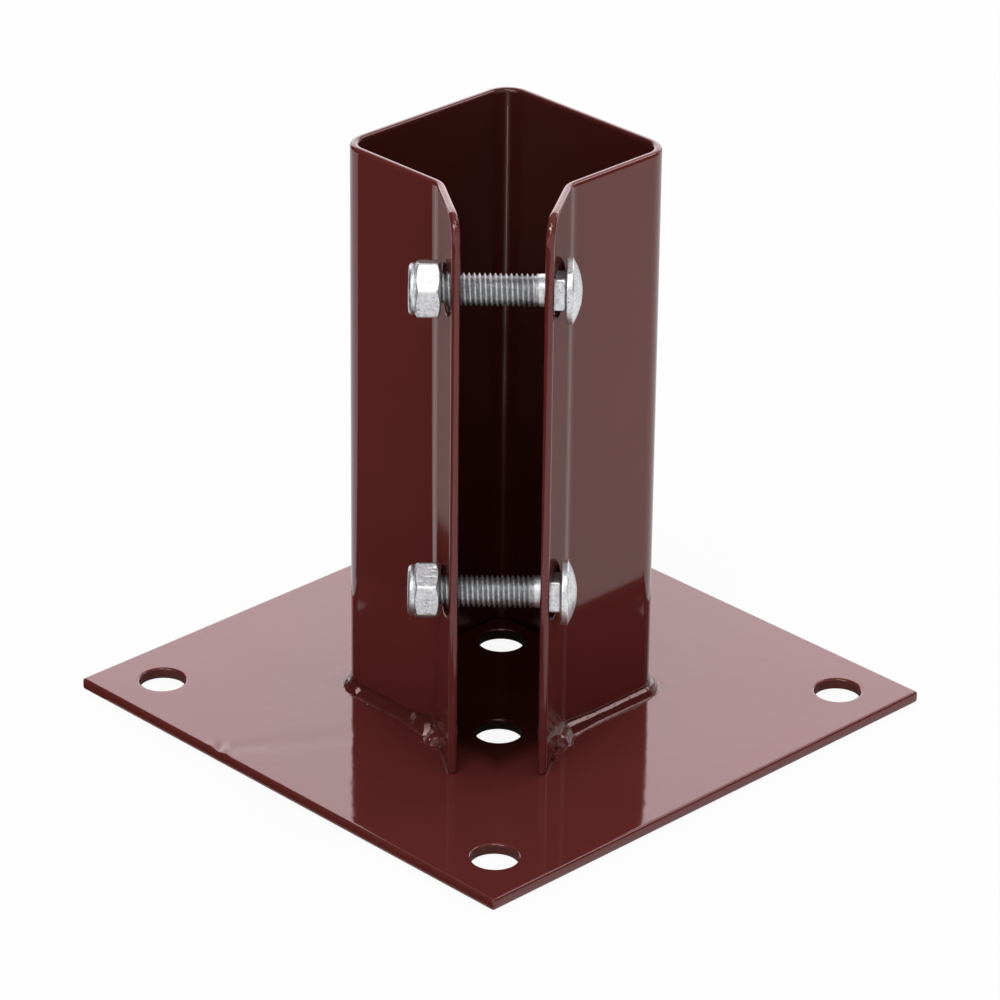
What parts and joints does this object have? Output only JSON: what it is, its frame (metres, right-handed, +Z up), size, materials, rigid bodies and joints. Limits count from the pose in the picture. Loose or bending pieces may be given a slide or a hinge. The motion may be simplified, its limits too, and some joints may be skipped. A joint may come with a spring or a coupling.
{
  "type": "timber post base",
  "caption": "Bolt-down base for a square timber post: a square plate with corner holes and a folded, slotted sleeve that two bolts draw shut.",
  "frame": {"origin": "centre of the base plate's underside", "axes": "+Z up along the post; X and Y along the plate's edges; the sleeve's open corner and its clamp flanges point along the diagonal between +X and -Y"},
  "size_m": [0.15, 0.15, 0.151],
  "materials": {
    "red_oxide_paint": "gloss red-oxide enamel on welded mild steel",
    "zinc_plated_steel": "dull zinc plating with small pits",
    "nylon": "natural nylon"
  },
  "bodies": {
    "root": {"base_plate": "red_oxide_paint", "post_sleeve": "red_oxide_paint", "weld_front_left": "red_oxide_paint", "weld_front_right": "red_oxide_paint", "weld_back": "red_oxide_paint", "carriage_bolt_upper": "zinc_plated_steel", "carriage_bolt_lower": "zinc_plated_steel", "lock_nut_upper": "zinc_plated_steel", "lock_nut_lower": "zinc_plated_steel", "nut_insert_upper": "nylon", "nut_insert_lower": "nylon"}
  },
  "joints": []
}
